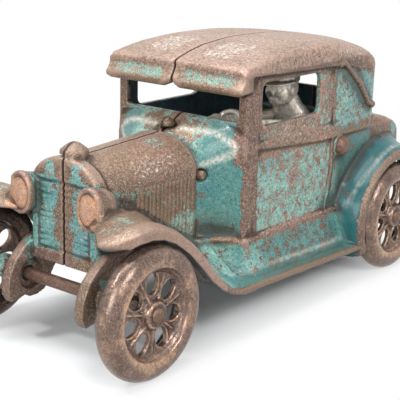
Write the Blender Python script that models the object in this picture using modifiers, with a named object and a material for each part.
"""Cast iron toy coupe, built as its real castings: two body halves on a centre seam,
a plated driver, two long body rivets, two loose axles and four loose wheels.

Frame: metres, +Z up, ground at z = 0, origin on the ground in the middle of the car.
The radiator faces -Y and the car's left side faces +X. The halves meet at x = 0.
"""
import bmesh
import bpy
import math
from mathutils import Matrix, Vector

MM = 0.001

# Running clearances
HALVES_GAP = 0.3 * MM
SEAT_GAP = 0.3 * MM
AXLE_PLAY = 0.35 * MM
WHEEL_PLAY = 0.4 * MM
HUB_END_PLAY = 0.6 * MM

# Wheels and axles
WHEEL_RADIUS = 23.25 * MM
TYRE_WIDTH = 9.4 * MM
RIM_RADIUS = 15.6 * MM
WEB_THICKNESS = 2.0 * MM
HUB_RADIUS = 4.6 * MM
HUB_LENGTH_OUT = 4.0 * MM
WHEEL_HOLES = 7
HOLE_CIRCLE_RADIUS = 10.3 * MM
HOLE_LENGTH = 7.2 * MM
HOLE_WIDTH = 5.9 * MM
AXLE_RADIUS = 2.3 * MM
WHEELBASE = 156.0 * MM
TRACK = 78.6 * MM
FRONT_AXLE_Y = -79.6 * MM

# Body casting
WALL = 2.4 * MM
BODY_HALF_WIDTH = 31.8 * MM
RADIATOR_Y = -79.2 * MM
RADIATOR_DEPTH = 5.0 * MM
RADIATOR_HALF_WIDTH = 16.2 * MM
RADIATOR_TOP = 68.4 * MM
RADIATOR_BOTTOM = 29.8 * MM
RADIATOR_CORE_TOP = 59.8 * MM
RADIATOR_FIN_PITCH = 2.1 * MM
HOOD_REAR_Y = -29.5 * MM
HOOD_REAR_HALF_WIDTH = 18.3 * MM
HOOD_CREASE_Z = 57.5 * MM
HOOD_REAR_TOP = 70.2 * MM
LOUVRES = 15
CAB_FRONT_Y = -17.8 * MM
CAB_REAR_Y = 76.5 * MM
CAB_CORNER_RADIUS = 8.0 * MM
WINDSHIELD_SILL = 75.4 * MM
WINDSHIELD_HALF_WIDTH = 27.4 * MM
WINDSHIELD_TOP = 89.2 * MM
DOOR_FRONT_Y = -11.9 * MM
DOOR_REAR_Y = 39.8 * MM
DOOR_WINDOW_FRONT_Y = -8.9 * MM
DOOR_WINDOW_REAR_Y = 29.9 * MM
DOOR_WINDOW_SILL = 73.4 * MM
DOOR_WINDOW_TOP = 89.3 * MM
REAR_WINDOW_HALF_WIDTH = 12.5 * MM
REAR_WINDOW_SILL = 75.0 * MM
REAR_WINDOW_TOP = 85.4 * MM
BELT_Z = 67.2 * MM
SILL_Z = 31.5 * MM

# Roof
ROOF_EDGE_Z = 94.2 * MM
ROOF_HALF_WIDTH = 33.2 * MM
ROOF_CROWN = 7.6 * MM
ROOF_FRONT_Y = -20.3 * MM
ROOF_REAR_DROP = 6.0 * MM
VISOR_DROP = 8.4 * MM
VISOR_REACH = 4.0 * MM

# Rear deck
DECK_END_Y = 102.8 * MM
DECK_TOP_FRONT = 66.6 * MM
DECK_TOP_REAR = 57.5 * MM
DECK_BOTTOM = 33.0 * MM

# Fenders and running boards
FENDER_OUT = 43.2 * MM
FENDER_WALL = 2.2 * MM
FENDER_LIP = 3.4 * MM
FRONT_FENDER_GAP = 6.5 * MM
REAR_FENDER_GAP = 7.1 * MM
BOARD_TOP_FRONT = 19.4 * MM
BOARD_TOP_REAR = 16.8 * MM

# Lamps
LAMP_X = 16.6 * MM
LAMP_Z = 54.0 * MM
LAMP_FRONT_Y = -84.2 * MM
LAMP_RADIUS = 7.9 * MM
LAMP_NARROWING = 0.74
LAMP_LENGTH = 11.0 * MM

# Frame horns, rivets and their bosses
HORN_X = 16.0 * MM
HORN_THICKNESS = 4.2 * MM
BOSS_WALL = 2.2 * MM
RIVET_RADIUS = 1.8 * MM
FRONT_RIVET_Y = -27.0 * MM
FRONT_RIVET_Z = 56.0 * MM
REAR_RIVET_Y = 45.4 * MM
REAR_RIVET_Z = 57.6 * MM
FRONT_HEAD_RADIUS = 1.7 * MM
FRONT_HEAD_HEIGHT = 0.5 * MM
RIVET_HEAD_RADIUS = 4.4 * MM
RIVET_HEAD_HEIGHT = 3.0 * MM

# Driver
DRIVER_X = 15.2 * MM
HEAD_Y = 26.6 * MM
HEAD_Z = 81.8 * MM
HEAD_RADIUS = 6.4 * MM

# Values worked out from the sizes above
SEAM_X = HALVES_GAP / 2
AXLE_Z = WHEEL_RADIUS
REAR_AXLE_Y = FRONT_AXLE_Y + WHEELBASE
WHEEL_X = TRACK / 2
REAR_FENDER_RADIUS = WHEEL_RADIUS + REAR_FENDER_GAP
ARCH_CLEARANCE = 1.6 * MM
HUB_INNER_X = BODY_HALF_WIDTH + HUB_END_PLAY
BOARD_THICKNESS = 2.3 * MM
ARCH_STEPS = 7
INSIDE_STEPS = 3
TYRE_STEPS = 7
ROOF_REAR_Y = CAB_REAR_Y + 0.2 * MM
HOLE_SIDES = 8
WHEEL_STEPS = 4 * WHEEL_HOLES


def clear_scene():
    for obj in list(bpy.data.objects):
        bpy.data.objects.remove(obj, do_unlink=True)


def new_collection(name):
    collection = bpy.data.collections.new(name)
    bpy.context.scene.collection.children.link(collection)
    return collection


def material(name, colour, roughness, metallic):
    mat = bpy.data.materials.new(name)
    mat.use_nodes = True
    shader = mat.node_tree.nodes["Principled BSDF"]
    shader.inputs["Base Color"].default_value = (*colour, 1.0)
    shader.inputs["Roughness"].default_value = roughness
    shader.inputs["Metallic"].default_value = metallic
    return mat


clear_scene()
PARTS = new_collection("cast_iron_toy_coupe")
TOOLS = new_collection("cutters")


def tool_object(name, bm):
    """Closed working solid from a bmesh, with its faces turned outwards."""
    bmesh.ops.recalc_face_normals(bm, faces=bm.faces)
    mesh = bpy.data.meshes.new(name)
    bm.to_mesh(mesh)
    bm.free()
    obj = bpy.data.objects.new(name, mesh)
    obj.hide_render = True
    obj.display_type = "WIRE"
    TOOLS.objects.link(obj)
    return obj


def warped(face):
    face.normal_update()
    middle = face.calc_center_median()
    return max(abs((vert.co - middle).dot(face.normal)) for vert in face.verts) > 1e-8


def loft(name, rings):
    """Solid through closed rings that have the same number of points."""
    bm = bmesh.new()
    rows = [[bm.verts.new(point) for point in ring] for ring in rings]
    count = len(rows[0])
    for row, following in zip(rows, rows[1:]):
        for i in range(count):
            j = (i + 1) % count
            bm.faces.new((row[i], row[j], following[j], following[i]))
    bm.faces.new(rows[0])
    bm.faces.new(list(reversed(rows[-1])))
    bmesh.ops.triangulate(bm, faces=[face for face in bm.faces if warped(face)])
    return tool_object(name, bm)


def box(name, low, high):
    bm = bmesh.new()
    bmesh.ops.create_cube(bm, size=1.0)
    for vert in bm.verts:
        for axis in range(3):
            vert.co[axis] = low[axis] if vert.co[axis] < 0 else high[axis]
    return tool_object(name, bm)


def plate(name, outline, x_low, x_high):
    """Flat plate: an outline of (y, z) points between two planes across the car."""
    return loft(name, [[Vector((x, y, z)) for y, z in outline] for x in (x_low, x_high)])


def rod_x(name, centre_y, centre_z, radius, x_low, x_high, sides=14):
    outline = []
    for i in range(sides):
        turn = 2 * math.pi * i / sides
        outline.append((centre_y + radius * math.cos(turn), centre_z + radius * math.sin(turn)))
    return plate(name, outline, x_low, x_high)


def turned(name, profile, steps):
    """Solid turned about Z from a profile of (radius, height) that runs top to bottom."""
    mesh = bpy.data.meshes.new(name)
    points = [(radius, 0.0, height) for radius, height in profile]
    mesh.from_pydata(points, [(i, i + 1) for i in range(len(points) - 1)], [])
    obj = bpy.data.objects.new(name, mesh)
    obj.hide_render = True
    obj.display_type = "WIRE"
    TOOLS.objects.link(obj)
    screw = obj.modifiers.new("turn", "SCREW")
    screw.steps = steps
    screw.render_steps = steps
    screw.use_merge_vertices = True
    screw.merge_threshold = 0.00005
    screw.use_normal_calculate = True
    apply_modifiers(obj)
    face_outwards(obj.data)
    return obj


def bar(name, points, radius, sides=8):
    """Round bar along a list of points, from a bevelled curve with filled caps."""
    curve = bpy.data.curves.new(name, "CURVE")
    curve.dimensions = "3D"
    spline = curve.splines.new("POLY")
    spline.points.add(len(points) - 1)
    for target, point in zip(spline.points, points):
        target.co = (*point, 1.0)
    curve.bevel_depth = radius
    curve.bevel_resolution = max(sides // 2 - 2, 0)
    curve.use_fill_caps = True
    obj = bpy.data.objects.new(name, curve)
    TOOLS.objects.link(obj)
    bpy.context.view_layer.update()
    graph = bpy.context.evaluated_depsgraph_get()
    mesh = bpy.data.meshes.new_from_object(obj.evaluated_get(graph))
    bpy.data.objects.remove(obj)
    bm = bmesh.new()
    bm.from_mesh(mesh)
    bpy.data.meshes.remove(mesh)
    bmesh.ops.remove_doubles(bm, verts=bm.verts, dist=0.00002)
    return tool_object(name, bm)


def ball(name, centre, radii, segments=14, rings=9):
    bm = bmesh.new()
    bmesh.ops.create_uvsphere(bm, u_segments=segments, v_segments=rings, radius=1.0)
    for vert in bm.verts:
        vert.co = Vector([centre[i] + radii[i] * vert.co[i] for i in range(3)])
    return tool_object(name, bm)


def face_outwards(mesh):
    bm = bmesh.new()
    bm.from_mesh(mesh)
    bmesh.ops.recalc_face_normals(bm, faces=bm.faces)
    bm.to_mesh(mesh)
    bm.free()


def drop_slivers(mesh):
    bm = bmesh.new()
    bm.from_mesh(mesh)
    bmesh.ops.dissolve_degenerate(bm, edges=bm.edges, dist=0.000002)
    bm.to_mesh(mesh)
    bm.free()


def merge_flat_faces(mesh):
    bm = bmesh.new()
    bm.from_mesh(mesh)
    bmesh.ops.dissolve_limit(bm, angle_limit=math.radians(0.2), verts=bm.verts, edges=bm.edges)
    bmesh.ops.triangulate(bm, faces=bm.faces)
    bm.to_mesh(mesh)
    bm.free()


def apply_modifiers(obj):
    bpy.context.view_layer.update()
    graph = bpy.context.evaluated_depsgraph_get()
    mesh = bpy.data.meshes.new_from_object(obj.evaluated_get(graph))
    old = obj.data
    obj.modifiers.clear()
    obj.data = mesh
    bpy.data.meshes.remove(old)


def place(obj, matrix):
    obj.data.transform(matrix)
    obj.data.update()
    return obj


def combine(obj, tool, operation):
    modifier = obj.modifiers.new(operation.lower(), "BOOLEAN")
    modifier.operation = operation
    modifier.solver = "EXACT"
    modifier.object = tool
    apply_modifiers(obj)
    drop_slivers(obj.data)
    bpy.data.objects.remove(tool)
    return obj


def add(obj, *tools):
    for tool in tools:
        combine(obj, tool, "UNION")
    return obj


def cut(obj, *tools):
    for tool in tools:
        combine(obj, tool, "DIFFERENCE")
    return obj


def finish_part(obj, name, mat, origin=(0.0, 0.0, 0.0)):
    """Name a finished piece, give it its material and put its origin on its axis."""
    obj.name = name
    obj.data.name = name
    obj.hide_render = False
    obj.display_type = "TEXTURED"
    TOOLS.objects.unlink(obj)
    PARTS.objects.link(obj)
    obj.data.materials.clear()
    obj.data.materials.append(mat)
    merge_flat_faces(obj.data)
    obj.data.transform(Matrix.Translation(-Vector(origin)))
    obj.location = origin
    obj.data.shade_smooth()
    obj.data.set_sharp_from_angle(angle=math.radians(35))
    return obj


def blend(a, b, t):
    return a + (b - a) * t


def along(table, value):
    """Straight-line reading of a rising table of (position, value) pairs."""
    if value <= table[0][0]:
        return table[0][1]
    for (a, va), (b, vb) in zip(table, table[1:]):
        if value <= b:
            return blend(va, vb, (value - a) / (b - a))
    return table[-1][1]


# Hood, radiator and cowl

HOOD_FRONT_Y = RADIATOR_Y + RADIATOR_DEPTH
SHELL_STEP = 0.7 * MM
EDGE = 0.9 * MM


def steps_for(inset):
    return INSIDE_STEPS if inset else ARCH_STEPS


def arch_ring(y, half, top, shoulder, bottom, steps=ARCH_STEPS, power=1.0):
    """Half section across the car: flat side up to a shoulder, then an arch to the seam.

    A power of 1 makes the arch an ellipse, and a lower one squares its corner.
    """
    points = [Vector((SEAM_X, y, bottom)), Vector((half, y, bottom)), Vector((half, y, shoulder))]
    for k in range(1, steps + 1):
        turn = math.pi / 2 * k / steps
        x = SEAM_X + (half - SEAM_X) * max(math.cos(turn), 0.0) ** power
        points.append(Vector((x, y, shoulder + (top - shoulder) * math.sin(turn) ** power)))
    points[-1].x = SEAM_X
    return points


def cowl_sections(inset):
    """Sections from the back of the hood to the front of the cab."""
    rings = []
    for t in (0.0, 0.2, 0.42, 0.66, 0.86, 1.0):
        y = blend(HOOD_REAR_Y, CAB_FRONT_Y, t) + SHELL_STEP * (1 - t)
        half = blend(HOOD_REAR_HALF_WIDTH - SHELL_STEP, BODY_HALF_WIDTH, t ** 1.5) - inset
        top = blend(HOOD_REAR_TOP - SHELL_STEP, WINDSHIELD_SILL, t) - inset
        shoulder = blend(HOOD_CREASE_Z, WINDSHIELD_SILL - 11.0 * MM, t) - inset
        bottom = blend(RADIATOR_BOTTOM, BOARD_TOP_REAR, t) - inset * 6
        rings.append(arch_ring(y, half, top, shoulder, bottom, steps_for(inset), blend(1.0, 0.6, t)))
    return rings


def nose_sections(inset):
    """Sections of the radiator shell and the hood."""
    half, top = RADIATOR_HALF_WIDTH - inset, RADIATOR_TOP - inset
    low = RADIATOR_BOTTOM - inset * 6
    shell_back = HOOD_FRONT_Y
    crease = HOOD_CREASE_Z - inset
    rear_half, rear_top = HOOD_REAR_HALF_WIDTH - inset, HOOD_REAR_TOP - inset
    if inset:
        return [arch_ring(RADIATOR_Y + inset, half - SHELL_STEP, top - SHELL_STEP, crease, low, INSIDE_STEPS),
                arch_ring(HOOD_REAR_Y, rear_half - SHELL_STEP, rear_top - SHELL_STEP, crease, low, INSIDE_STEPS)]
    return [arch_ring(RADIATOR_Y, half - EDGE, top - EDGE, crease, low),
            arch_ring(RADIATOR_Y + EDGE, half, top, crease, low),
            arch_ring(shell_back, half, top, crease, low),
            arch_ring(shell_back + EDGE / 2, half - SHELL_STEP, top - SHELL_STEP, crease, low),
            arch_ring(HOOD_REAR_Y, rear_half, rear_top, crease, low)]


def body_width(y):
    """Half width of the outside of the body at a place along the car."""
    if y <= HOOD_REAR_Y:
        t = max(0.0, (y - HOOD_FRONT_Y) / (HOOD_REAR_Y - HOOD_FRONT_Y))
        return blend(RADIATOR_HALF_WIDTH - SHELL_STEP, HOOD_REAR_HALF_WIDTH, t)
    t = min(1.0, (y - HOOD_REAR_Y) / (CAB_FRONT_Y - HOOD_REAR_Y))
    return blend(HOOD_REAR_HALF_WIDTH - SHELL_STEP, BODY_HALF_WIDTH, t ** 1.5)


# Cab

def cab_footprint(inset):
    half = BODY_HALF_WIDTH - inset
    front, rear = CAB_FRONT_Y + inset, CAB_REAR_Y - inset
    radius = CAB_CORNER_RADIUS - inset
    points = [(SEAM_X, front), (half - EDGE, front), (half, front + EDGE)]
    for k in range(7):
        turn = math.pi / 2 * k / 6
        points.append((half - radius + radius * math.cos(turn), rear - radius + radius * math.sin(turn)))
    points.append((SEAM_X, rear))
    return points


# Roof: share of its length, then shares of the crown's rise and of the edge's drop
ROOF_LINE = [(0.0, 0.26, 0.0), (0.07, 0.53, 0.0), (0.15, 0.76, 0.03), (0.3, 0.96, 0.1), (0.43, 1.0, 0.16),
             (0.58, 0.96, 0.22), (0.72, 0.86, 0.38), (0.84, 0.68, 0.68), (0.92, 0.42, 0.86), (0.97, 0.1, 0.96),
             (1.0, -0.45, 1.0)]
ROOF_SLAB = 1.9 * MM
ROOF_POWER = 0.42
ROOF_REAR_POWER = 0.85
GUTTER_END_Y = 62.0 * MM


def roof_drop(y):
    """How far the roof edge has come down at a place along the car."""
    share = (y - ROOF_FRONT_Y) / (ROOF_REAR_Y - ROOF_FRONT_Y)
    return ROOF_REAR_DROP * along([(place, drop) for place, rise, drop in ROOF_LINE], share)


def cab_solid(inset, bottom, top):
    points = cab_footprint(inset)
    return loft("cab", [[Vector((x, y, bottom)) for x, y in points],
                        [Vector((x, y, top - roof_drop(y))) for x, y in points]])


def roof_sections(inset):
    rings = []
    corner_start = ROOF_REAR_Y - CAB_CORNER_RADIUS
    for share, rise, drop in ROOF_LINE:
        y = blend(ROOF_FRONT_Y, ROOF_REAR_Y, share)
        flush = min(1.0, max(0.0, (y - DOOR_REAR_Y) / (GUTTER_END_Y - DOOR_REAR_Y)))
        half = blend(ROOF_HALF_WIDTH, BODY_HALF_WIDTH + 0.15 * MM, flush)
        if y > corner_start:
            reach = (y - corner_start) / CAB_CORNER_RADIUS
            half -= CAB_CORNER_RADIUS * (1 - math.sqrt(max(0.0, 1 - reach * reach)))
        edge = ROOF_EDGE_Z - ROOF_REAR_DROP * drop
        y = blend(ROOF_FRONT_Y + inset * 1.6, ROOF_REAR_Y - inset * 1.6, share)
        top = ROOF_EDGE_Z + ROOF_CROWN * rise - inset
        low = edge - ROOF_SLAB if not inset else edge - 12 * MM
        side = half - inset * 1.6
        power = blend(ROOF_POWER, ROOF_REAR_POWER, max(0.0, share - 0.58) / 0.42)
        rings.append(arch_ring(y, side, top, min(edge - inset, top - 0.2 * MM), low, steps_for(inset), power))
    return rings


# Visor section: share of its reach forward of the roof, then share of its drop
VISOR_SECTION = [(0.0, 0.02), (0.3, 0.06), (0.42, 0.15), (0.33, 0.25), (0.42, 0.42), (0.68, 0.6), (0.94, 0.74),
                 (1.0, 0.86), (0.9, 0.96), (0.66, 1.0)]


def visor():
    """Sun visor along the front of the roof; its inner end is rounded off at the seam."""
    rings = []
    for x, share in ((SEAM_X, 0.74), (SEAM_X + 1.2 * MM, 0.9), (SEAM_X + 3.5 * MM, 1.0),
                     (ROOF_HALF_WIDTH * 0.5, 1.0), (ROOF_HALF_WIDTH * 0.93, 1.0), (ROOF_HALF_WIDTH, 0.9)):
        squared = max(0.0, 1 - (x / ROOF_HALF_WIDTH) ** (2 / ROOF_POWER)) ** (ROOF_POWER / 2)
        top = ROOF_EDGE_Z + ROOF_CROWN * ROOF_LINE[0][1] * squared
        drop = (top - ROOF_EDGE_Z + VISOR_DROP) * share
        section = [(ROOF_FRONT_Y + 3 * MM, top - 0.4 * MM)]
        for out, down in VISOR_SECTION:
            section.append((ROOF_FRONT_Y - VISOR_REACH * share * out, top - drop * down))
        section += [(CAB_FRONT_Y + 1.2 * MM, top - drop * 0.92), (CAB_FRONT_Y + 1.2 * MM, top - 1.0 * MM)]
        rings.append([Vector((x, y, z)) for y, z in section])
    return loft("visor", rings)


# Deck: share of its length, half width share and height share of the top edge
DECK_STATIONS = [(0.0, 1.0, 1.0), (0.25, 0.99, 0.87), (0.5, 0.97, 0.66), (0.72, 0.945, 0.36),
                 (0.87, 0.92, 0.02), (0.96, 0.87, -0.5), (1.0, 0.74, -1.4)]
DECK_CROWN = 2.0 * MM


def deck_sections(inset):
    rings = []
    start = CAB_REAR_Y - CAB_CORNER_RADIUS * 1.1
    for share, wide, high in DECK_STATIONS:
        y = blend(start, DECK_END_Y - inset, share)
        half = BODY_HALF_WIDTH * wide - inset
        edge = blend(DECK_TOP_REAR, DECK_TOP_FRONT, high) - inset
        low = DECK_BOTTOM - inset * 6
        rings.append(arch_ring(y, half, edge + DECK_CROWN, edge, low, steps_for(inset)))
    return rings


# Front fender: top of its outer edge as a turn about the axle in degrees, then the extra gap to the tyre
# and the place outwards
FRONT_FENDER_LINE = [(125.2, 1.3, -9.7), (121.0, 2.1, -4.7), (113.1, 1.8, -1.2), (105.3, 1.4, 0.0),
                     (93.0, 0.4, 0.0), (79.5, -0.6, 0.0), (64.1, -1.6, 0.0), (45.2, -1.8, 0.0),
                     (28.0, -0.4, 0.0), (10.7, 3.4, 0.0), (1.8, 7.9, 0.0), (-3.0, 12.9, 0.0),
                     (-4.8, 19.0, 0.0), (-4.7, 24.4, 0.0)]
FRONT_FENDER_REACH = WHEEL_RADIUS + FRONT_FENDER_GAP + FRONT_FENDER_LINE[-1][1] * MM
FRONT_FENDER_ROOT = [(-97.5, -81.8), (-84.0, -76.5), (-67.0, -67.0), (-25.0, -25.0)]
FRONT_FENDER_DEPTH = [(-97.5, 1.35), (-88.0, 1.1), (-50.0, 1.0), (-36.0, 0.45)]
FENDER_SECTION = [(0.0, 0.0), (0.3, -0.5), (0.62, -0.4), (0.86, 0.4), (1.0, -0.9)]
FRONT_FENDER_RISE = [(-90.0, 0.0), (-75.0, 0.9), (-67.0, 3.4), (-60.0, 6.6), (-52.0, 9.5), (-43.0, 13.0), (-34.0, 14.0)]


def fender_ring(outer, inner_x, inner_y, rise, lip, normal):
    """Section across a fender: skin from the body to the rolled outer lip."""
    top, under = [], []
    for share, swell in FENDER_SECTION:
        lift = rise * (1 - share) ** 1.6
        point = Vector((blend(inner_x, outer.x, share), blend(inner_y, outer.y, share), outer.z + lift))
        top.append(point + normal * swell * MM)
    for point in top[:-1]:
        under.append(point - normal * FENDER_WALL)
    lip_outer = top[-1] - normal * lip
    lip_inner = lip_outer - Vector((FENDER_WALL, 0, 0))
    root = top[-1] - normal * min(FENDER_WALL + 0.3 * MM, lip * 0.8) - Vector((FENDER_WALL, 0, 0))
    return top + [lip_outer, lip_inner, root] + list(reversed(under))


def front_fender():
    line = []
    for degrees, over, out in FRONT_FENDER_LINE:
        turn = math.radians(degrees)
        reach = WHEEL_RADIUS + FRONT_FENDER_GAP + over * MM
        line.append(Vector((FENDER_OUT + out * MM, FRONT_AXLE_Y + reach * math.cos(turn), AXLE_Z + reach * math.sin(turn))))
    line[-1].z = BOARD_TOP_FRONT - 0.5 * MM
    rings = []
    for i, outer in enumerate(line):
        before, after = line[max(i - 1, 0)], line[min(i + 1, len(line) - 1)]
        tangent = (after - before)
        normal = Vector((0.0, -tangent.z, tangent.y)).normalized()
        inner_x = body_width(max(outer.y, HOOD_FRONT_Y)) - WALL * 0.5
        inner_y = along(FRONT_FENDER_ROOT, outer.y / MM) * MM
        rise = along(FRONT_FENDER_RISE, outer.y / MM) * MM
        lip = along(FRONT_FENDER_DEPTH, outer.y / MM) * FENDER_LIP
        rings.append(fender_ring(outer, inner_x, inner_y, rise, lip, normal))
    return loft("front_fender", rings)


def running_board():
    """Apron under the sill and the flat board in one section."""
    front = FRONT_AXLE_Y + FRONT_FENDER_REACH - 7 * MM
    rear = REAR_AXLE_Y - WHEEL_RADIUS - ARCH_CLEARANCE - 1.0 * MM
    rings = []
    for y in (front, HOOD_REAR_Y, blend(HOOD_REAR_Y, CAB_FRONT_Y, 0.5), CAB_FRONT_Y, rear):
        top = blend(BOARD_TOP_FRONT, BOARD_TOP_REAR, (y - front) / (rear - front))
        inner = body_width(y) - WALL * 0.5
        wall = body_width(y)
        section = [(inner, SILL_Z), (wall + 0.9 * MM, SILL_Z), (wall + 1.6 * MM, SILL_Z - 2.5 * MM),
                   (wall + 3.6 * MM, blend(top, SILL_Z, 0.45)), (wall + 6.2 * MM, top + 0.4 * MM),
                   (FENDER_OUT - 0.5 * MM, top), (FENDER_OUT, top - 0.5 * MM),
                   (FENDER_OUT, top - BOARD_THICKNESS), (wall + 4.6 * MM, top - BOARD_THICKNESS),
                   (wall + 0.4 * MM, blend(top, SILL_Z, 0.3)), (inner, blend(top, SILL_Z, 0.55))]
        rings.append([Vector((x, y, z)) for x, z in section])
    return loft("running_board", rings)


# Rear fender: turn about the axle in degrees, then radius of the ridge and of the root on the body
REAR_FENDER_RIDGE = [(205, 0.4, 4.8), (190, 0.6, 5.0), (175, 0.4, 4.6), (161, 0.3, 4.0), (147, -0.5, 3.2),
                     (134, -1.5, 2.1), (121, -1.9, 1.6), (108, -1.4, 2.1), (95, -0.5, 2.9), (82, 0.5, 3.7),
                     (69, 1.2, 4.2), (56, 1.2, 3.7), (43, 0.0, 2.0), (30, -1.9, -0.4), (16, -3.4, -3.2),
                     (0, -4.0, -3.9)]


def rear_fender():
    """Skin round the rear wheel: ridge, rolled edge and a flange close to the tyre."""
    opening = WHEEL_RADIUS + ARCH_CLEARANCE
    inner = BODY_HALF_WIDTH - WALL * 0.5
    rings = []
    for degrees, over, root in REAR_FENDER_RIDGE:
        turn = math.radians(degrees)
        ridge = REAR_FENDER_RADIUS + over * MM
        at_body = REAR_FENDER_RADIUS + root * MM
        edge = opening + 1.1 * MM + 0.35 * (ridge - opening - 1.1 * MM)
        under = max(opening + 0.4 * MM, ridge - FENDER_WALL)
        section = [(inner, at_body), (BODY_HALF_WIDTH + 1.2 * MM, blend(ridge, at_body, 0.6)),
                   (BODY_HALF_WIDTH + 3.2 * MM, blend(ridge, at_body, 0.15)),
                   (FENDER_OUT - 5.4 * MM, ridge), (FENDER_OUT - 2.4 * MM, blend(edge, ridge, 0.72)),
                   (FENDER_OUT - 0.6 * MM, blend(edge, ridge, 0.3)), (FENDER_OUT, edge - 0.6 * MM),
                   (FENDER_OUT, opening), (FENDER_OUT - FENDER_WALL, opening),
                   (FENDER_OUT - FENDER_WALL, blend(opening, under, 0.4)), (FENDER_OUT - 6.0 * MM, under),
                   (inner, under)]
        rings.append([Vector((x, REAR_AXLE_Y + radius * math.cos(turn), AXLE_Z + radius * math.sin(turn)))
                      for x, radius in section])
    return loft("rear_fender", rings)


# Cast-on details

def lamp():
    profile = [(0.0, 0.6 * MM), (LAMP_RADIUS * 0.5, 0.3 * MM), (LAMP_RADIUS * 0.8, -0.5 * MM),
               (LAMP_RADIUS * 0.86, 0.2 * MM), (LAMP_RADIUS * 0.95, 0.2 * MM), (LAMP_RADIUS, -0.6 * MM),
               (LAMP_RADIUS, -2.0 * MM), (LAMP_RADIUS * 0.92, -2.8 * MM), (LAMP_RADIUS * 0.8, -LAMP_LENGTH * 0.7),
               (LAMP_RADIUS * 0.56, -LAMP_LENGTH), (0.0, -LAMP_LENGTH)]
    obj = turned("lamp", profile, 16)
    place(obj, Matrix.Scale(LAMP_NARROWING, 4, (1, 0, 0)))
    turn = Matrix.Rotation(math.radians(90), 4, "X")
    return place(obj, Matrix.Translation((LAMP_X, LAMP_FRONT_Y, LAMP_Z)) @ turn)


def dome_x(name, centre_y, centre_z, seat_x, radius, height, side):
    """Peened head: a shallow dome that stands on a plane across the car."""
    profile = [(0.0, height), (radius * 0.45, height * 0.9), (radius * 0.8, height * 0.58), (radius, 0.0),
               (0.0, 0.0)]
    obj = turned(name, profile, 10)
    turn = Matrix.Rotation(math.radians(90) * side, 4, "Y")
    return place(obj, Matrix.Translation((seat_x * side, centre_y, centre_z)) @ turn)


def horn():
    """Frame horn that carries the front axle."""
    y, z = FRONT_AXLE_Y, AXLE_Z
    outline = [(y + 13.0 * MM, z + 15.0 * MM), (y + 2.0 * MM, z + 14.0 * MM), (y - 3.0 * MM, z + 10.6 * MM),
               (y - 7.4 * MM, z + 6.4 * MM), (y - 10.2 * MM, z + 0.6 * MM), (y - 10.8 * MM, z - 5.4 * MM),
               (y - 9.0 * MM, z - 8.6 * MM), (y - 5.4 * MM, z - 7.8 * MM), (y - 3.4 * MM, z - 7.4 * MM)]
    for k in range(6):
        turn = math.radians(230 + 24 * k)
        outline.append((y + 1.5 * MM + 8.6 * MM * math.cos(turn), z + 8.6 * MM * math.sin(turn)))
    outline += [(y + 14.0 * MM, z + 3.0 * MM), (y + 22.0 * MM, z + 8.0 * MM)]
    return plate("horn", outline, HORN_X, HORN_X + HORN_THICKNESS)


def radiator_cap():
    base = RADIATOR_TOP - 1.6 * MM
    profile = [(0.0, RADIATOR_TOP + 4.9 * MM), (2.2 * MM, RADIATOR_TOP + 4.2 * MM),
               (5.0 * MM, RADIATOR_TOP + 2.1 * MM), (5.3 * MM, RADIATOR_TOP + 0.9 * MM), (5.0 * MM, base),
               (0.0, base)]
    obj = turned("radiator_cap", profile, 8)
    return place(obj, Matrix.Translation((0, HOOD_FRONT_Y + 0.6 * MM, 0)))


KNOB_RADIUS = 3.2 * MM
KNOB_Y = HOOD_REAR_Y + 4.1 * MM
KNOB_FLOOR = blend(HOOD_REAR_TOP, WINDSHIELD_SILL, 0.19)


def cowl_knob():
    """Round filler cap that stands in a dish on the cowl."""
    return ball("cowl_knob", (0, KNOB_Y, KNOB_FLOOR + 0.6 * MM), (KNOB_RADIUS,) * 3)


def cowl_dish():
    profile = [(0.0, 9 * MM), (KNOB_RADIUS + 0.8 * MM, 9 * MM), (KNOB_RADIUS + 0.8 * MM, 0.0), (0.0, 0.0)]
    return place(turned("cowl_dish", profile, 16), Matrix.Translation((0, KNOB_Y, KNOB_FLOOR)))


def fins():
    """Radiator core: a shallow recess, then level fins that stand in it."""
    recess = 0.7 * MM
    core_half = RADIATOR_HALF_WIDTH - 3.6 * MM
    bottom = RADIATOR_BOTTOM + 4.4 * MM
    pocket = box("pocket", (-1 * MM, RADIATOR_Y - 2 * MM, bottom), (core_half, RADIATOR_Y + recess, RADIATOR_CORE_TOP))
    blades = []
    count = int((RADIATOR_CORE_TOP - bottom) / RADIATOR_FIN_PITCH)
    pitch = (RADIATOR_CORE_TOP - bottom) / count
    for i in range(1, count):
        z = bottom + pitch * i
        blades.append(box("fin", (SEAM_X, RADIATOR_Y + 0.15 * MM, z - pitch * 0.34),
                          (core_half + 0.3 * MM, RADIATOR_Y + recess + 0.3 * MM, z + pitch * 0.34)))
    return pocket, blades


def louvres():
    """Upright louvres pressed out of the hood side, in one row."""
    ribs = []
    start, end = HOOD_REAR_Y - 30.0 * MM, HOOD_REAR_Y - 2.2 * MM
    for i in range(LOUVRES):
        y = blend(start, end, i / (LOUVRES - 1))
        low = blend(50.4 * MM, 35.0 * MM, i / (LOUVRES - 1))
        high = HOOD_CREASE_Z - 1.4 * MM
        wall = body_width(y)
        section = [(wall - 0.5 * MM, y - 0.5 * MM), (wall + 0.5 * MM, y), (wall + 0.4 * MM, y + 0.35 * MM),
                   (wall - 0.5 * MM, y + 0.6 * MM)]
        ribs.append(loft("louvre", [[Vector((x, v, z)) for x, v in section] for z in (low, high)]))
    return ribs


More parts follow.
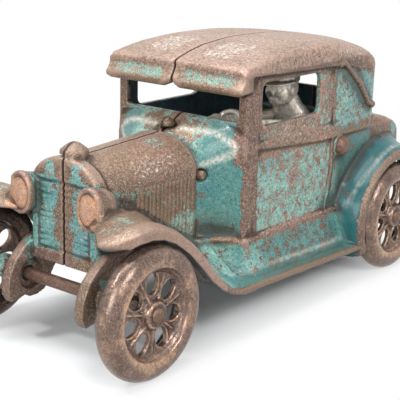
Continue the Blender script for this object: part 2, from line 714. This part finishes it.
def side_lines():
    """Door edges, belt band, sill bead and landau bar cast on the side of the cab."""
    wall = BODY_HALF_WIDTH
    top = ROOF_EDGE_Z - ROOF_SLAB
    edge = wall - 0.13 * MM
    front_line = [(edge, DOOR_FRONT_Y, SILL_Z), (edge, DOOR_FRONT_Y, top)]
    rear_line = [(edge, DOOR_REAR_Y - 4.3 * MM, SILL_Z), (edge, DOOR_REAR_Y - 1.1 * MM, SILL_Z + 8.5 * MM),
                 (edge, DOOR_REAR_Y + 0.4 * MM, SILL_Z + 19 * MM), (edge, DOOR_REAR_Y, top)]
    sill = [(body_width(y) + 0.33 * MM, y, SILL_Z) for y in (HOOD_REAR_Y - 9 * MM, HOOD_REAR_Y - 1 * MM,
            blend(HOOD_REAR_Y, CAB_FRONT_Y, 0.35), blend(HOOD_REAR_Y, CAB_FRONT_Y, 0.7), CAB_FRONT_Y + 1 * MM,
            DOOR_REAR_Y + 5 * MM)]
    band = [(DOOR_FRONT_Y, BELT_Z - 1.8 * MM), (DOOR_REAR_Y, BELT_Z - 5.4 * MM),
            (CAB_REAR_Y - CAB_CORNER_RADIUS, BELT_Z - 4.8 * MM), (CAB_REAR_Y - CAB_CORNER_RADIUS, BELT_Z),
            (DOOR_FRONT_Y, BELT_Z)]
    bar_x = wall + 0.9 * MM
    rear = CAB_REAR_Y - CAB_CORNER_RADIUS
    landau = [(bar_x, rear - 27.0 * MM, ROOF_EDGE_Z - 3.6 * MM), (bar_x, rear - 24.8 * MM, ROOF_EDGE_Z - 2.6 * MM),
              (bar_x, rear - 22.8 * MM, ROOF_EDGE_Z - 3.2 * MM), (bar_x, rear - 10.7 * MM, ROOF_EDGE_Z - 12.5 * MM),
              (bar_x, rear - 3.0 * MM, ROOF_EDGE_Z - 21.4 * MM), (bar_x, rear - 0.4 * MM, ROOF_EDGE_Z - 22.2 * MM)]
    knob = ball("landau_end", (bar_x, rear - 0.4 * MM, ROOF_EDGE_Z - 22.2 * MM), (1.7 * MM,) * 3, 9, 6)
    joint = ball("landau_joint", (bar_x, rear - 10.7 * MM, ROOF_EDGE_Z - 12.5 * MM), (1.6 * MM,) * 3, 9, 6)
    return [bar("door_front", front_line, 0.7 * MM, 6), bar("door_rear", rear_line, 0.7 * MM, 6),
            bar("sill", sill, 1.0 * MM, 6), plate("belt", band, wall - 0.6 * MM, wall + 0.55 * MM),
            add(bar("landau", landau, 1.2 * MM, 6), knob, joint)]


def rounded_outline(a_low, a_high, b_low, b_high, radius):
    points = []
    for centre_a, centre_b, start in ((a_high - radius, b_high - radius, 0), (a_low + radius, b_high - radius, 90),
                                      (a_low + radius, b_low + radius, 180), (a_high - radius, b_low + radius, 270)):
        for k in range(4):
            turn = math.radians(start + 30 * k)
            points.append((centre_a + radius * math.cos(turn), centre_b + radius * math.sin(turn)))
    return points


def window_cutters():
    door = plate("door_window", rounded_outline(DOOR_WINDOW_FRONT_Y, DOOR_WINDOW_REAR_Y, DOOR_WINDOW_SILL,
                                                DOOR_WINDOW_TOP, 3.0 * MM),
                 BODY_HALF_WIDTH - WALL * 2, BODY_HALF_WIDTH + WALL * 2)
    front = rounded_outline(-WINDSHIELD_HALF_WIDTH, WINDSHIELD_HALF_WIDTH, WINDSHIELD_SILL, WINDSHIELD_TOP, 1.6 * MM)
    windshield = loft("windshield", [[Vector((x, y, z)) for x, z in front]
                                     for y in (CAB_FRONT_Y - WALL, CAB_FRONT_Y + WALL * 2)])
    back = rounded_outline(-REAR_WINDOW_HALF_WIDTH, REAR_WINDOW_HALF_WIDTH, REAR_WINDOW_SILL, REAR_WINDOW_TOP, 3.0 * MM)
    rear = loft("rear_window", [[Vector((x, y, z)) for x, z in back]
                                for y in (CAB_REAR_Y - WALL * 2, CAB_REAR_Y + WALL * 3)])
    return door, windshield, rear


def body_half():
    """Left half casting without the cap: outside less inside, then what stands on it."""
    half = loft("body", nose_sections(0.0))
    add(half, loft("cowl", cowl_sections(0.0)))
    add(half, cab_solid(0.0, BOARD_TOP_REAR, ROOF_EDGE_Z - 0.8 * MM))
    add(half, loft("roof", roof_sections(0.0)), loft("deck", deck_sections(0.0)))
    add(half, lamp())
    lower = BOARD_TOP_REAR - 5 * MM
    clear = REAR_AXLE_Y - WHEEL_RADIUS - ARCH_CLEARANCE
    cut(half, box("rear_clear", (-1 * MM, clear, lower), (BODY_HALF_WIDTH + 9 * MM, DECK_END_Y + 9 * MM, DECK_BOTTOM)))
    inside = loft("inside", nose_sections(WALL))
    cavity = cab_solid(WALL, lower, ROOF_EDGE_Z - WALL)
    for tool in (inside, loft("cowl_inside", cowl_sections(WALL)), loft("roof_inside", roof_sections(WALL)),
                 loft("deck_inside", deck_sections(WALL))):
        widen_to_seam(tool)
        cut(half, tool)
    widen_to_seam(cavity)
    cut(half, cavity)
    add(half, rear_fender(), front_fender(), running_board())
    ear = [(REAR_AXLE_Y - 9 * MM, DECK_BOTTOM + 3 * MM)]
    for k in range(9):
        turn = math.radians(195 + 18.75 * k)
        ear.append((REAR_AXLE_Y + 7.4 * MM * math.cos(turn), AXLE_Z + 7.4 * MM * math.sin(turn)))
    ear.append((REAR_AXLE_Y + 9 * MM, DECK_BOTTOM + 3 * MM))
    add(half, plate("rear_ear", ear, BODY_HALF_WIDTH - WALL, BODY_HALF_WIDTH))
    add(half, horn())
    boss = AXLE_RADIUS + BOSS_WALL
    add(half, rod_x("axle_boss", FRONT_AXLE_Y, AXLE_Z, boss, HORN_X + 1 * MM, BODY_HALF_WIDTH))
    rivet_boss = RIVET_RADIUS + BOSS_WALL
    seat = body_width(FRONT_RIVET_Y)
    add(half, rod_x("front_post", FRONT_RIVET_Y, FRONT_RIVET_Z, rivet_boss, SEAM_X, seat - WALL * 0.8))
    add(half, rod_x("rear_post", REAR_RIVET_Y, REAR_RIVET_Z, rivet_boss, BODY_HALF_WIDTH - WALL - 4 * MM,
                    BODY_HALF_WIDTH + 0.9 * MM))
    for tool in window_cutters():
        cut(half, tool)
    add(half, visor())
    for piece in side_lines():
        add(half, piece)
    pocket, blades = fins()
    cut(half, pocket)
    add(half, *blades)
    add(half, *louvres())
    bore = AXLE_RADIUS + AXLE_PLAY
    cut(half, rod_x("front_bore", FRONT_AXLE_Y, AXLE_Z, bore, HORN_X - 5 * MM, BODY_HALF_WIDTH + 5 * MM))
    cut(half, rod_x("front_cup", FRONT_AXLE_Y, AXLE_Z, 5.4 * MM, HORN_X - 5 * MM, HORN_X + 1.6 * MM, 20))
    cut(half, rod_x("rear_bore", REAR_AXLE_Y, AXLE_Z, bore, BODY_HALF_WIDTH - 5 * MM, BODY_HALF_WIDTH + 5 * MM))
    cut(half, cowl_dish())
    hole = RIVET_RADIUS + SEAT_GAP
    cut(half, rod_x("front_hole", FRONT_RIVET_Y, FRONT_RIVET_Z, hole, -1 * MM, BODY_HALF_WIDTH + 5 * MM))
    cut(half, rod_x("rear_hole", REAR_RIVET_Y, REAR_RIVET_Z, hole, 5 * MM, BODY_HALF_WIDTH + 5 * MM))
    return half


def widen_to_seam(tool):
    """Let a cavity run past the seam plane so that it opens the half there."""
    for vert in tool.data.vertices:
        if abs(vert.co.x - SEAM_X) < 1e-7:
            vert.co.x = -2 * MM
    tool.data.update()


def body_halves(paint):
    left = body_half()
    right_mesh = left.data.copy()
    right = bpy.data.objects.new("right", right_mesh)
    TOOLS.objects.link(right)
    place(right, Matrix.Scale(-1, 4, (1, 0, 0)))
    face_outwards(right.data)
    step = RADIATOR_TOP + SEAT_GAP
    cap = radiator_cap()
    far = 12 * MM
    cut(cap, box("under_cap", (-far, RADIATOR_Y - far, 0), (SEAM_X, HOOD_FRONT_Y + far, step)))
    add(left, cap)
    knob = cowl_knob()
    cut(knob, box("under_knob", (-SEAM_X, KNOB_Y - far, 0), (far, KNOB_Y + far, KNOB_FLOOR + SEAT_GAP)))
    add(right, knob)
    finish_part(left, "body_left_half", paint)
    finish_part(right, "body_right_half", paint)


# Wheels and axles

def wheel(name, axle_y, side, iron):
    """One casting: fat tyre, stepped rim, web with oval holes and a long hub."""
    half_tyre = TYRE_WIDTH / 2
    middle = WHEEL_RADIUS - half_tyre * 1.05
    bore = AXLE_RADIUS + WHEEL_PLAY
    inner_end = WHEEL_X - HUB_INNER_X
    profile = []
    for k in range(TYRE_STEPS + 1):
        turn = math.radians(blend(112, -112, k / TYRE_STEPS))
        profile.append((middle + half_tyre * 1.05 * math.cos(turn), half_tyre * math.sin(turn)))
    tyre_out, tyre_in = profile[0], profile[-1]
    web = WEB_THICKNESS / 2
    outer = [(bore, HUB_LENGTH_OUT), (HUB_RADIUS * 0.82, HUB_LENGTH_OUT), (HUB_RADIUS, HUB_LENGTH_OUT - 0.9 * MM),
             (HUB_RADIUS + 0.6 * MM, web + 0.7 * MM), (RIM_RADIUS - 1.6 * MM, web), (RIM_RADIUS - 0.5 * MM, web + 1.6 * MM),
             (RIM_RADIUS + 0.5 * MM, half_tyre * 0.62)]
    inner = [(RIM_RADIUS + 0.4 * MM, -half_tyre * 0.62), (RIM_RADIUS - 1.2 * MM, -web), (HUB_RADIUS + 0.4 * MM, -web),
             (HUB_RADIUS * 0.95, -inner_end), (bore, -inner_end)]
    ring = outer + profile + inner + [outer[0]]
    obj = turned(name, ring, WHEEL_STEPS)
    place(obj, Matrix.Rotation(math.pi / WHEEL_STEPS, 4, "Z"))
    first = math.pi if side > 0 else 0.0
    for i in range(WHEEL_HOLES):
        turn = first + 2 * math.pi * i / WHEEL_HOLES
        spin = Matrix.Rotation(turn, 4, "Z")
        raised = place(oval("raised", HOLE_LENGTH + 1.6 * MM, HOLE_WIDTH + 1.6 * MM, 0.0, web + 0.7 * MM), spin)
        add(obj, raised)
    for i in range(WHEEL_HOLES):
        turn = first + 2 * math.pi * i / WHEEL_HOLES
        spin = Matrix.Rotation(turn, 4, "Z")
        cut(obj, place(oval("hole", HOLE_LENGTH, HOLE_WIDTH, -web - 3 * MM, web + 3 * MM), spin))
    place(obj, Matrix.Rotation(math.radians(90) * side, 4, "Y"))
    place(obj, Matrix.Translation((WHEEL_X * side, axle_y, AXLE_Z)))
    return finish_part(obj, name, iron, (WHEEL_X * side, axle_y, AXLE_Z))


def oval(name, length, width, low, high):
    """Oval prism whose long axis is radial, wider at its outer end."""
    points = []
    for k in range(HOLE_SIDES):
        turn = 2 * math.pi * k / HOLE_SIDES
        radial = math.cos(turn) * length / 2
        across = math.sin(turn) * width / 2 * (1 + 0.22 * math.cos(turn))
        points.append((HOLE_CIRCLE_RADIUS + radial, across))
    return loft(name, [[Vector((x, y, z)) for x, y in points] for z in (low, high)])


def axle(name, axle_y, steel):
    end = WHEEL_X + HUB_LENGTH_OUT + SEAT_GAP
    obj = rod_x(name, axle_y, AXLE_Z, AXLE_RADIUS, -end - 0.5 * MM, end + 0.5 * MM, 12)
    for side in (-1, 1):
        add(obj, dome_x("end", axle_y, AXLE_Z, end, AXLE_RADIUS + 0.8 * MM, 1.6 * MM, side))
    return finish_part(obj, name, steel, (0, axle_y, AXLE_Z))


def body_rivet(name, y, z, seat, head_radius, head_height, steel):
    end = seat + SEAT_GAP + head_height * 0.3
    obj = rod_x(name, y, z, RIVET_RADIUS, -end, end, 12)
    for side in (-1, 1):
        add(obj, dome_x("head", y, z, seat + SEAT_GAP, head_radius, head_height, side))
    return finish_part(obj, name, steel)


# Driver

def ellipse_ring(centre, half_x, half_y, tilt=0.0, steps=14):
    ring = []
    for k in range(steps):
        turn = 2 * math.pi * k / steps
        x, y = half_x * math.cos(turn), half_y * math.sin(turn)
        ring.append(Vector((centre[0] + x, centre[1] + y * math.cos(tilt), centre[2] + y * math.sin(tilt))))
    return ring


def driver(nickel):
    x, y, z = DRIVER_X, HEAD_Y, HEAD_Z
    r = HEAD_RADIUS
    seat_z = REAR_RIVET_Z - 7 * MM
    torso = [ellipse_ring((x, REAR_RIVET_Y - 9 * MM, seat_z), 7.6 * MM, 4.6 * MM),
             ellipse_ring((x, REAR_RIVET_Y - 9.4 * MM, seat_z + 7 * MM), 7.4 * MM, 4.8 * MM),
             ellipse_ring((x, REAR_RIVET_Y - 10.4 * MM, z - 13.6 * MM), 9.2 * MM, 5.2 * MM),
             ellipse_ring((x, REAR_RIVET_Y - 11.6 * MM, z - 10.4 * MM), 8.8 * MM, 5.4 * MM),
             ellipse_ring((x, y + 5.2 * MM, z - 6.8 * MM), 6.0 * MM, 5.0 * MM),
             ellipse_ring((x, y + 3.4 * MM, z - 2.6 * MM), 4.4 * MM, 4.2 * MM)]
    figure = loft("driver", torso)
    add(figure, ball("head", (x, y, z), (r * 0.86, r, r * 1.12), 14, 9))
    add(figure, ball("jaw", (x, y - r * 0.36, z - r * 0.62), (r * 0.55, r * 0.56, r * 0.5), 10, 6))
    add(figure, ball("cap", (x, y + r * 0.16, z + r * 0.62), (r * 1.05, r * 1.16, r * 0.72), 14, 7))
    brim = [ellipse_ring((x, y - r * 0.3, z + r * 0.36), r * 1.14, r * 1.28, math.radians(6)),
            ellipse_ring((x, y - r * 0.3, z + r * 0.5), r * 1.14, r * 1.28, math.radians(6))]
    add(figure, loft("brim", brim))
    wheel_y, wheel_z = CAB_FRONT_Y + 9.6 * MM, WINDSHIELD_SILL - 4.4 * MM
    for side in (-1, 1):
        shoulder = (x + side * 7.2 * MM, REAR_RIVET_Y - 11 * MM, z - 12.4 * MM)
        elbow = (x + side * 10.0 * MM, blend(wheel_y, REAR_RIVET_Y, 0.48), z - 12.8 * MM)
        hand = (x + side * 5.6 * MM, wheel_y, wheel_z + 1.5 * MM)
        add(figure, bar("arm", [shoulder, elbow, hand], 2.5 * MM, 6))
        add(figure, ball("hand", hand, (2.6 * MM, 2.6 * MM, 2.8 * MM), 8, 5))
    steering = ring_solid("steering", (x, wheel_y, wheel_z), 6.4 * MM, 1.2 * MM, math.radians(55))
    add(figure, steering)
    lug = rod_x("lug", REAR_RIVET_Y, REAR_RIVET_Z, RIVET_RADIUS + BOSS_WALL + 0.4 * MM, x - 3 * MM, x + 3 * MM)
    add(figure, lug)
    add(figure, box("web", (x - 3 * MM, REAR_RIVET_Y - 8 * MM, REAR_RIVET_Z - 3.4 * MM),
                    (x + 3 * MM, REAR_RIVET_Y - 2.4 * MM, REAR_RIVET_Z + 3.4 * MM)))
    cut(figure, rod_x("lug_hole", REAR_RIVET_Y, REAR_RIVET_Z, RIVET_RADIUS + SEAT_GAP, x - 9 * MM, x + 9 * MM))
    return finish_part(figure, "driver", nickel)


def ring_solid(name, centre, radius, thickness, tilt):
    bm = bmesh.new()
    count, sides = 14, 5
    rows = []
    for i in range(count):
        a = 2 * math.pi * i / count
        row = []
        for j in range(sides):
            b = 2 * math.pi * j / sides
            reach = radius + thickness * math.cos(b)
            local = Vector((reach * math.cos(a), reach * math.sin(a), thickness * math.sin(b)))
            local.rotate(Matrix.Rotation(tilt, 3, "X"))
            row.append(bm.verts.new(Vector(centre) + local))
        rows.append(row)
    for i in range(count):
        a, b = rows[i], rows[(i + 1) % count]
        for j in range(sides):
            k = (j + 1) % sides
            bm.faces.new((a[j], a[k], b[k], b[j]))
    return tool_object(name, bm)


def main():
    paint = material("painted_cast_iron", (0.09, 0.33, 0.30), 0.55, 0.0)
    iron = material("rusty_cast_iron", (0.16, 0.09, 0.07), 0.6, 0.5)
    steel = material("worn_steel", (0.22, 0.15, 0.12), 0.5, 0.7)
    nickel = material("worn_nickel", (0.48, 0.42, 0.36), 0.4, 0.8)
    body_halves(paint)
    driver(nickel)
    axle("front_axle", FRONT_AXLE_Y, steel)
    axle("rear_axle", REAR_AXLE_Y, steel)
    for place_name, axle_y in (("front", FRONT_AXLE_Y), ("rear", REAR_AXLE_Y)):
        for side_name, side in (("left", 1), ("right", -1)):
            wheel("wheel_%s_%s" % (place_name, side_name), axle_y, side, iron)
    body_rivet("front_body_rivet", FRONT_RIVET_Y, FRONT_RIVET_Z, body_width(FRONT_RIVET_Y),
               FRONT_HEAD_RADIUS, FRONT_HEAD_HEIGHT, steel)
    body_rivet("rear_body_rivet", REAR_RIVET_Y, REAR_RIVET_Z, BODY_HALF_WIDTH + 0.9 * MM, RIVET_HEAD_RADIUS,
               RIVET_HEAD_HEIGHT, steel)


main()
